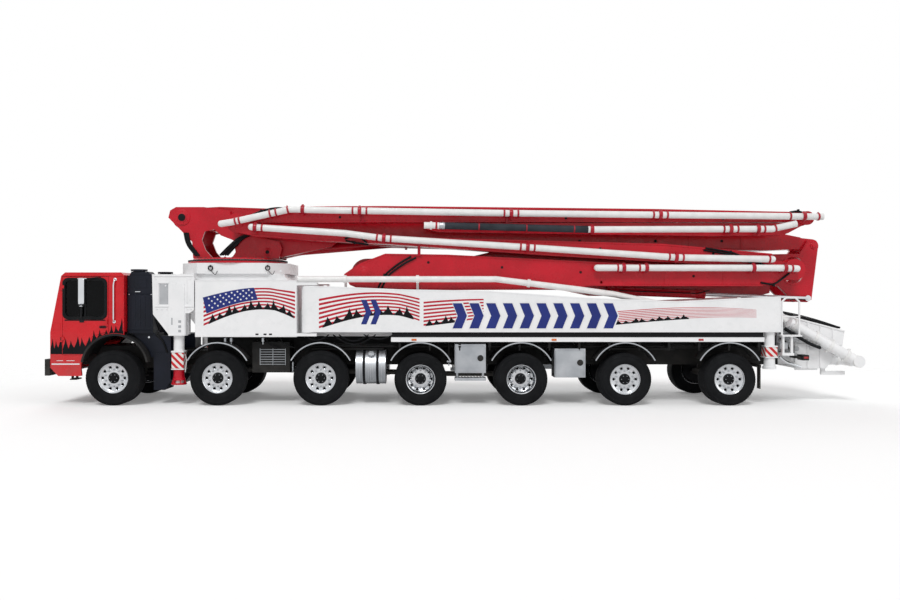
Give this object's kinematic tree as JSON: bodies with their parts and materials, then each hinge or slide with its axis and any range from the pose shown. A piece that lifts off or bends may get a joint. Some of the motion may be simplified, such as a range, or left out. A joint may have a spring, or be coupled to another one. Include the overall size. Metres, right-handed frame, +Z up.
{
  "type": "concrete pump truck",
  "caption": "Long multi-axle truck that carries a folding concrete boom on a slewing turret, with swing-out side legs and a rear hopper.",
  "frame": {"origin": "middle of the footprint, on the ground", "axes": "+X to the rear, +Y to the far side, +Z up; the driver's side is -Y"},
  "size_m": [16.58, 2.54, 4.08],
  "materials": {
    "frame_black": "satin",
    "axle_grey": "matt",
    "cab_red": "gloss",
    "glazing": "clear, dark tint",
    "cabin_trim": "matt",
    "bumper_black": "satin",
    "stack_navy": "satin",
    "guard_black": "satin",
    "box_metal": "brushed",
    "body_white": "gloss",
    "pipe_white": "gloss",
    "cover_rubber": "matt",
    "boom_red": "gloss",
    "rod_chrome": "polished",
    "tyre_black": "matt"
  },
  "bodies": {
    "truck": {"chassis_frame": "frame_black", "driveline": "axle_grey", "cab_shell": "cab_red", "cab_glass": "glazing", "cab_interior": "cabin_trim", "front_bumper": "bumper_black", "air_stack": "stack_navy", "arch_flares": "guard_black", "mudguards": "guard_black", "side_boxes": "box_metal", "pedestal": "body_white", "rear_deck": "body_white", "delivery_line": "pipe_white", "hopper": "body_white", "rear_steps": "body_white"},
    "hopper_lid": {"hopper_lid": "cover_rubber"},
    "turret": {"turret": "boom_red"},
    "luff_barrel": {"luff_barrel": "boom_red"},
    "luff_rod": {"luff_rod": "rod_chrome"},
    "boom_a": {"boom_a": "boom_red"},
    "boom_b": {"boom_b": "boom_red"},
    "fold_rod": {"fold_rod": "rod_chrome"},
    "tool_door_front": {"tool_door_front": "box_metal"},
    "tool_door_rear": {"tool_door_rear": "box_metal"},
    "boom_c": {"boom_c": "boom_red", "line_c": "pipe_white"},
    "boom_d": {"boom_d": "boom_red", "line_d": "pipe_white"},
    "boom_e": {"boom_e": "boom_red", "line_e": "pipe_white"},
    "boom_f": {"boom_f": "boom_red", "line_f": "pipe_white"},
    "door_left": {"door_left": "cab_red", "door_glass_left": "glazing"},
    "knuckle_left": {"knuckle_left": "axle_grey"},
    "wheel_1_left": {"wheel_1_left": "tyre_black"},
    "wheel_2_left": {"wheel_2_left": "tyre_black"},
    "wheel_3_left": {"wheel_3_left": "tyre_black"},
    "wheel_4_left": {"wheel_4_left": "tyre_black"},
    "wheel_5_left": {"wheel_5_left": "tyre_black"},
    "wheel_6_left": {"wheel_6_left": "tyre_black"},
    "wheel_7_left": {"wheel_7_left": "tyre_black"},
    "front_leg_left": {"front_leg_left": "body_white"},
    "front_jack_left": {"front_jack_left": "body_white"},
    "rear_leg_left": {"rear_leg_left": "body_white"},
    "rear_jack_left": {"rear_jack_left": "body_white"},
    "door_right": {"door_right": "cab_red", "door_glass_right": "glazing"},
    "knuckle_right": {"knuckle_right": "axle_grey"},
    "wheel_1_right": {"wheel_1_right": "tyre_black"},
    "wheel_2_right": {"wheel_2_right": "tyre_black"},
    "wheel_3_right": {"wheel_3_right": "tyre_black"},
    "wheel_4_right": {"wheel_4_right": "tyre_black"},
    "wheel_5_right": {"wheel_5_right": "tyre_black"},
    "wheel_6_right": {"wheel_6_right": "tyre_black"},
    "wheel_7_right": {"wheel_7_right": "tyre_black"},
    "front_leg_right": {"front_leg_right": "body_white"},
    "front_jack_right": {"front_jack_right": "body_white"},
    "rear_leg_right": {"rear_leg_right": "body_white"},
    "rear_jack_right": {"rear_jack_right": "body_white"}
  },
  "joints": [
    {"name": "slew", "type": "hinge", "parent": "truck", "child": "turret", "pos_m": [-4.675, 0, 2.95], "axis": [0, 0, 1], "range_deg": [-180, 180]},
    {"name": "luff", "type": "hinge", "parent": "turret", "child": "boom_a", "pos_m": [-5.75, 0, 3.84], "axis": [0, -1, 0], "range_deg": [0, 85]},
    {"name": "luff_barrel_swing", "type": "hinge", "parent": "turret", "child": "luff_barrel", "pos_m": [-3.96, 0, 3.115], "axis": [0, -1, 0], "range_deg": [0, 100]},
    {"name": "luff_rod_slide", "type": "slide", "parent": "luff_barrel", "child": "luff_rod", "axis": [0.9966, 0, 0.0819], "range_m": [0, 2.55]},
    {"name": "fold_ab", "type": "hinge", "parent": "boom_a", "child": "boom_b", "pos_m": [7.54, 0, 3.26], "axis": [0, -1, 0], "range_deg": [0, 180]},
    {"name": "fold_rod_slide", "type": "slide", "parent": "boom_b", "child": "fold_rod", "axis": [0.9993, 0, -0.038], "range_m": [0, 0.9]},
    {"name": "fold_bc", "type": "hinge", "parent": "boom_b", "child": "boom_c", "pos_m": [-1.9, 0, 2.66], "axis": [0, 1, 0], "range_deg": [0, 180]},
    {"name": "fold_cd", "type": "hinge", "parent": "boom_c", "child": "boom_d", "pos_m": [6.866, 0, 2.736], "axis": [0, 1, 0], "range_deg": [0, 180]},
    {"name": "fold_de", "type": "hinge", "parent": "boom_d", "child": "boom_e", "pos_m": [-4.507, 0, 3.685], "axis": [0, -1, 0], "range_deg": [0, 180]},
    {"name": "fold_ef", "type": "hinge", "parent": "boom_e", "child": "boom_f", "pos_m": [7.12, 0, 3.786], "axis": [0, -1, 0], "range_deg": [0, 180]},
    {"name": "hopper_lid_hinge", "type": "hinge", "parent": "truck", "child": "hopper_lid", "pos_m": [6.615, 0, 1.884], "axis": [0, -1, 0], "range_deg": [0, 80]},
    {"name": "steer_left", "type": "hinge", "parent": "truck", "child": "knuckle_left", "pos_m": [-6.92, -0.745, 0.55], "axis": [0, 0, 1], "range_deg": [-30, 30]},
    {"name": "spin_1_left", "type": "hinge", "parent": "knuckle_left", "child": "wheel_1_left", "pos_m": [-6.92, -1.05, 0.55], "axis": [0, 1, 0], "continuous": true},
    {"name": "spin_2_left", "type": "hinge", "parent": "truck", "child": "wheel_2_left", "pos_m": [-4.83, -1.05, 0.55], "axis": [0, 1, 0], "continuous": true},
    {"name": "spin_3_left", "type": "hinge", "parent": "truck", "child": "wheel_3_left", "pos_m": [-2.76, -1.05, 0.55], "axis": [0, 1, 0], "continuous": true},
    {"name": "spin_4_left", "type": "hinge", "parent": "truck", "child": "wheel_4_left", "pos_m": [-0.76, -1.05, 0.525], "axis": [0, 1, 0], "continuous": true},
    {"name": "spin_5_left", "type": "hinge", "parent": "truck", "child": "wheel_5_left", "pos_m": [1.26, -1.05, 0.525], "axis": [0, 1, 0], "continuous": true},
    {"name": "spin_6_left", "type": "hinge", "parent": "truck", "child": "wheel_6_left", "pos_m": [3.34, -1.05, 0.525], "axis": [0, 1, 0], "continuous": true},
    {"name": "spin_7_left", "type": "hinge", "parent": "truck", "child": "wheel_7_left", "pos_m": [5.43, -1.05, 0.525], "axis": [0, 1, 0], "continuous": true},
    {"name": "cab_door_left", "type": "hinge", "parent": "truck", "child": "door_left", "pos_m": [-7.945, -1.216, 1.8], "axis": [0, 0, -1], "range_deg": [0, 70]},
    {"name": "front_leg_left_slide", "type": "slide", "parent": "truck", "child": "front_leg_left", "axis": [-0.77, -0.638, 0], "range_m": [0, 2.2]},
    {"name": "front_jack_left_slide", "type": "slide", "parent": "front_leg_left", "child": "front_jack_left", "axis": [0, 0, -1], "range_m": [0, 0.7]},
    {"name": "rear_leg_left_swing", "type": "hinge", "parent": "truck", "child": "rear_leg_left", "pos_m": [-2.99, -1.1, 1.9], "axis": [0, 0, -1], "range_deg": [0, 100]},
    {"name": "rear_jack_left_slide", "type": "slide", "parent": "rear_leg_left", "child": "rear_jack_left", "axis": [0, 0, -1], "range_m": [0, 1]},
    {"name": "steer_right", "type": "hinge", "parent": "truck", "child": "knuckle_right", "pos_m": [-6.92, 0.745, 0.55], "axis": [0, 0, 1], "range_deg": [-30, 30]},
    {"name": "spin_1_right", "type": "hinge", "parent": "knuckle_right", "child": "wheel_1_right", "pos_m": [-6.92, 1.05, 0.55], "axis": [0, 1, 0], "continuous": true},
    {"name": "spin_2_right", "type": "hinge", "parent": "truck", "child": "wheel_2_right", "pos_m": [-4.83, 1.05, 0.55], "axis": [0, 1, 0], "continuous": true},
    {"name": "spin_3_right", "type": "hinge", "parent": "truck", "child": "wheel_3_right", "pos_m": [-2.76, 1.05, 0.55], "axis": [0, 1, 0], "continuous": true},
    {"name": "spin_4_right", "type": "hinge", "parent": "truck", "child": "wheel_4_right", "pos_m": [-0.76, 1.05, 0.525], "axis": [0, 1, 0], "continuous": true},
    {"name": "spin_5_right", "type": "hinge", "parent": "truck", "child": "wheel_5_right", "pos_m": [1.26, 1.05, 0.525], "axis": [0, 1, 0], "continuous": true},
    {"name": "spin_6_right", "type": "hinge", "parent": "truck", "child": "wheel_6_right", "pos_m": [3.34, 1.05, 0.525], "axis": [0, 1, 0], "continuous": true},
    {"name": "spin_7_right", "type": "hinge", "parent": "truck", "child": "wheel_7_right", "pos_m": [5.43, 1.05, 0.525], "axis": [0, 1, 0], "continuous": true},
    {"name": "cab_door_right", "type": "hinge", "parent": "truck", "child": "door_right", "pos_m": [-7.945, 1.216, 1.8], "axis": [0, 0, 1], "range_deg": [0, 70]},
    {"name": "front_leg_right_slide", "type": "slide", "parent": "truck", "child": "front_leg_right", "axis": [-0.77, 0.638, 0], "range_m": [0, 2.2]},
    {"name": "front_jack_right_slide", "type": "slide", "parent": "front_leg_right", "child": "front_jack_right", "axis": [0, 0, -1], "range_m": [0, 0.7]},
    {"name": "rear_leg_right_swing", "type": "hinge", "parent": "truck", "child": "rear_leg_right", "pos_m": [-2.99, 1.1, 1.9], "axis": [0, 0, 1], "range_deg": [0, 100]},
    {"name": "rear_jack_right_slide", "type": "slide", "parent": "rear_leg_right", "child": "rear_jack_right", "axis": [0, 0, -1], "range_m": [0, 1]},
    {"name": "tool_door_front_hinge", "type": "hinge", "parent": "truck", "child": "tool_door_front", "pos_m": [-0.067, -1.213, 0.94], "axis": [0, 0, -1], "range_deg": [0, 100]},
    {"name": "tool_door_rear_hinge", "type": "hinge", "parent": "truck", "child": "tool_door_rear", "pos_m": [1.933, -1.213, 0.85], "axis": [0, 0, -1], "range_deg": [0, 100]}
  ],
  "couplings": [
    {"joint": "slew", "follows": "luff", "ratio": 2},
    {"joint": "luff_barrel_swing", "follows": "luff", "ratio": 1.1004},
    {"joint": "luff_rod_slide", "follows": "luff", "m_per_rad": 1.6912},
    {"joint": "fold_ab", "follows": "luff", "ratio": 0.25},
    {"joint": "fold_rod_slide", "follows": "luff", "m_per_rad": 0.1685},
    {"joint": "fold_bc", "follows": "luff", "ratio": 1},
    {"joint": "fold_cd", "follows": "luff", "ratio": 2},
    {"joint": "hopper_lid_hinge", "follows": "luff", "ratio": 0.9},
    {"joint": "fold_ef", "follows": "fold_de", "ratio": 0.45},
    {"joint": "steer_right", "follows": "steer_left", "ratio": 1}
  ]
}
